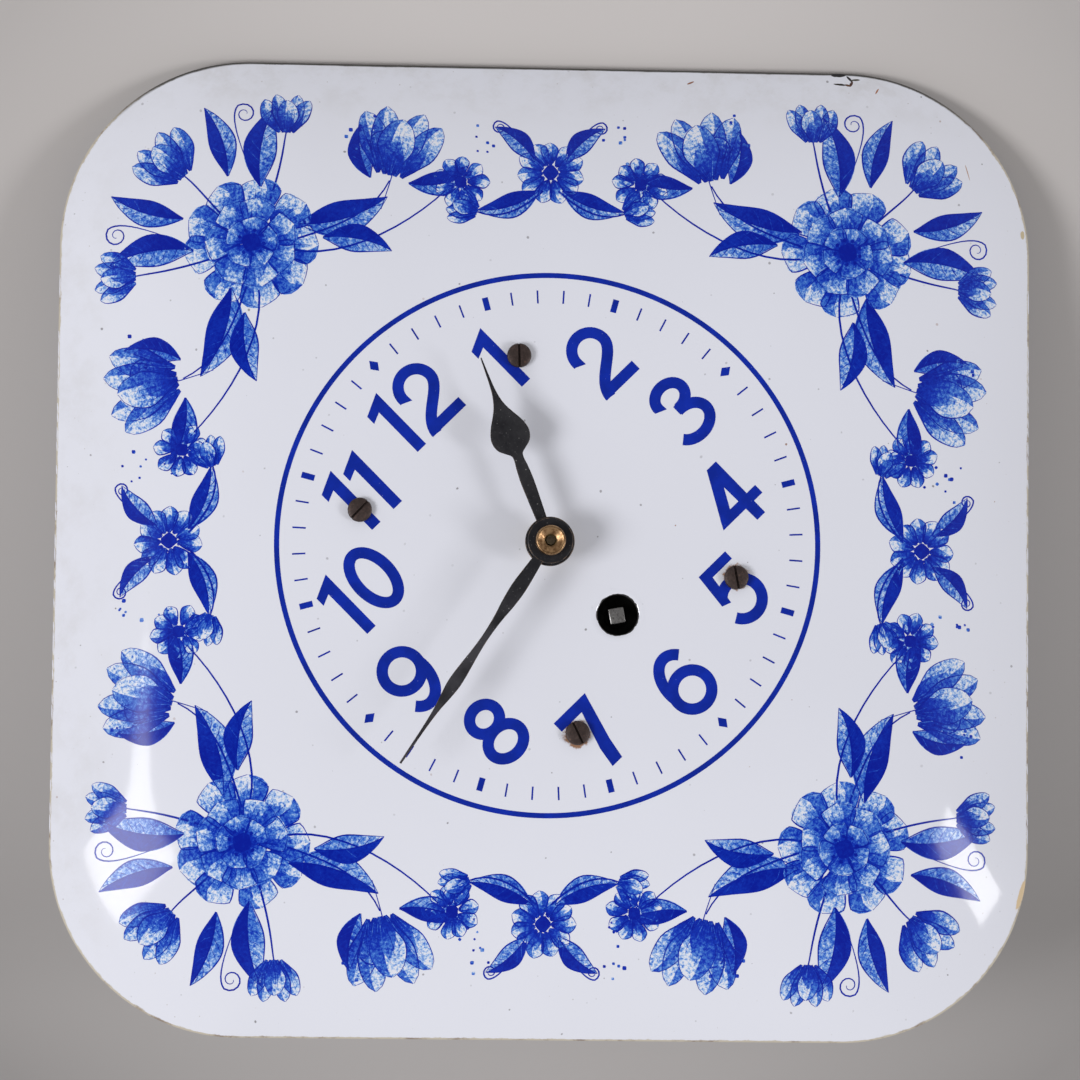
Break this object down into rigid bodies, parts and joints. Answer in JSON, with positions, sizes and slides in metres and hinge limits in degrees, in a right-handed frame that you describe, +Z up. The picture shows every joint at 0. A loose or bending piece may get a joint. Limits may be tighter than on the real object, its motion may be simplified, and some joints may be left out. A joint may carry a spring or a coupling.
{
  "type": "kitchen wall clock",
  "caption": "Domed square enamelled wall clock hung corner up, with open pear and lance hands and a key-wound lever movement in a sheet cover.",
  "frame": {"origin": "on the wall plane, in the back face of the dust cover, straight behind the hands' axis", "axes": "+X to 3 o'clock, +Z up to 12 o'clock, +Y into the wall, so the dial looks along -Y"},
  "size_m": [0.3186, 0.0554, 0.3186],
  "materials": {
    "enamel": "glossy vitreous enamel on sheet steel",
    "black_paint": "satin black",
    "brass": "turned and stamped",
    "steel": "turned",
    "rusted_steel": "oxidised",
    "blued_steel": "tempered spring",
    "zinc": "zinc coated sheet"
  },
  "bodies": {
    "case": {"dial_plate": "enamel", "front_plate": "brass", "back_plate": "brass", "dust_cover": "zinc", "hanger": "zinc", "minute_wheel_post": "steel", "click_screw": "steel", "click_spring": "brass", "balance_cup_back": "steel", "balance_cup_front": "steel", "hairspring": "blued_steel", "hairspring_stud": "brass", "dial_screw_upper_right": "rusted_steel", "dial_screw_upper_left": "rusted_steel", "dial_screw_lower_right": "rusted_steel", "dial_screw_lower_left": "rusted_steel", "dial_post_upper_right": "brass", "dial_post_upper_left": "brass", "dial_post_lower_right": "brass", "dial_post_lower_left": "brass", "pillar_upper_right": "steel", "pillar_upper_left": "steel", "pillar_lower_right": "steel", "pillar_lower_left": "steel", "pillar_nut_upper_right": "brass", "pillar_nut_upper_left": "brass", "pillar_nut_lower_right": "brass", "pillar_nut_lower_left": "brass", "cover_stud_right": "brass", "cover_stud_left": "brass", "cover_screw_right": "steel", "cover_screw_left": "steel"},
    "barrel": {"mainspring_barrel": "brass", "barrel_cover": "brass", "mainspring": "blued_steel"},
    "winding_arbor": {"winding_arbor": "steel", "ratchet_wheel": "steel"},
    "click": {"click": "steel"},
    "intermediate_wheel": {"intermediate_arbor": "steel", "intermediate_wheel": "brass"},
    "centre_wheel": {"centre_arbor": "steel", "centre_wheel": "brass"},
    "third_wheel": {"third_arbor": "steel", "third_wheel": "brass"},
    "fourth_wheel": {"fourth_arbor": "steel", "fourth_wheel": "brass"},
    "escape_wheel": {"escape_arbor": "steel", "escape_wheel": "brass"},
    "pallet_lever": {"pallet_lever": "steel"},
    "balance": {"balance_wheel": "brass", "balance_staff": "steel"},
    "regulator": {"regulator_lever": "steel"},
    "minute_hand": {"minute_hand": "black_paint", "cannon_pinion": "steel", "hand_nut": "brass"},
    "minute_wheel": {"minute_wheel": "brass"},
    "hour_hand": {"hour_hand": "black_paint", "hour_wheel": "brass"}
  },
  "joints": [
    {"name": "minute_hand_turn", "type": "hinge", "parent": "case", "child": "minute_hand", "pos_m": [0, -0.0525, 0], "axis": [0, 1, 0], "continuous": true},
    {"name": "minute_wheel_turn", "type": "hinge", "parent": "case", "child": "minute_wheel", "pos_m": [0.01128, -0.0342, 0.0041], "axis": [0, 1, 0], "continuous": true},
    {"name": "hour_hand_turn", "type": "hinge", "parent": "case", "child": "hour_hand", "pos_m": [0, -0.05, 0], "axis": [0, 1, 0], "continuous": true},
    {"name": "third_wheel_turn", "type": "hinge", "parent": "case", "child": "third_wheel", "pos_m": [-0.00756, -0.018, 0.01309], "axis": [0, 1, 0], "continuous": true},
    {"name": "centre_wheel_turn", "type": "hinge", "parent": "case", "child": "centre_wheel", "pos_m": [0, -0.018, 0], "axis": [0, 1, 0], "continuous": true},
    {"name": "intermediate_wheel_turn", "type": "hinge", "parent": "case", "child": "intermediate_wheel", "pos_m": [0.01533, -0.018, -0.01105], "axis": [0, 1, 0], "continuous": true},
    {"name": "barrel_turn", "type": "hinge", "parent": "case", "child": "barrel", "pos_m": [0, -0.018, -0.0254], "axis": [0, 1, 0], "continuous": true},
    {"name": "fourth_wheel_turn", "type": "hinge", "parent": "case", "child": "fourth_wheel", "pos_m": [-0.01934, -0.018, 0.01989], "axis": [0, 1, 0], "continuous": true},
    {"name": "escape_wheel_turn", "type": "hinge", "parent": "case", "child": "escape_wheel", "pos_m": [-0.01322, -0.018, 0.03049], "axis": [0, 1, 0], "continuous": true},
    {"name": "winding_turn", "type": "hinge", "parent": "case", "child": "winding_arbor", "pos_m": [0, -0.036, -0.0254], "axis": [0, 1, 0], "range_deg": [0, 1920]},
    {"name": "click_lift", "type": "hinge", "parent": "case", "child": "click", "pos_m": [-0.01046, -0.031, -0.03357], "axis": [0, -1, 0], "range_deg": [0, 12], "stiffness_Nm_per_rad": 0.002, "springref_deg": -11.46},
    {"name": "pallet_swing", "type": "hinge", "parent": "case", "child": "pallet_lever", "pos_m": [-0.00475, -0.018, 0.02975], "axis": [0, 1, 0], "range_deg": [-6, 6]},
    {"name": "balance_swing", "type": "hinge", "parent": "case", "child": "balance", "pos_m": [0.00803, -0.018, 0.02908], "axis": [0, 1, 0], "range_deg": [-220, 220], "stiffness_Nm_per_rad": 0.000038},
    {"name": "regulator_swing", "type": "hinge", "parent": "case", "child": "regulator", "pos_m": [0.00803, -0.006, 0.02908], "axis": [0, 1, 0], "range_deg": [-22, 22]}
  ],
  "couplings": [
    {"joint": "minute_wheel_turn", "follows": "minute_hand_turn", "ratio": -0.33333},
    {"joint": "hour_hand_turn", "follows": "minute_hand_turn", "ratio": 0.083333},
    {"joint": "centre_wheel_turn", "follows": "third_wheel_turn", "ratio": -0.125},
    {"joint": "intermediate_wheel_turn", "follows": "third_wheel_turn", "ratio": 0.020833},
    {"joint": "barrel_turn", "follows": "third_wheel_turn", "ratio": -0.0034722},
    {"joint": "fourth_wheel_turn", "follows": "third_wheel_turn", "ratio": -7.5},
    {"joint": "escape_wheel_turn", "follows": "third_wheel_turn", "ratio": 60}
  ]
}
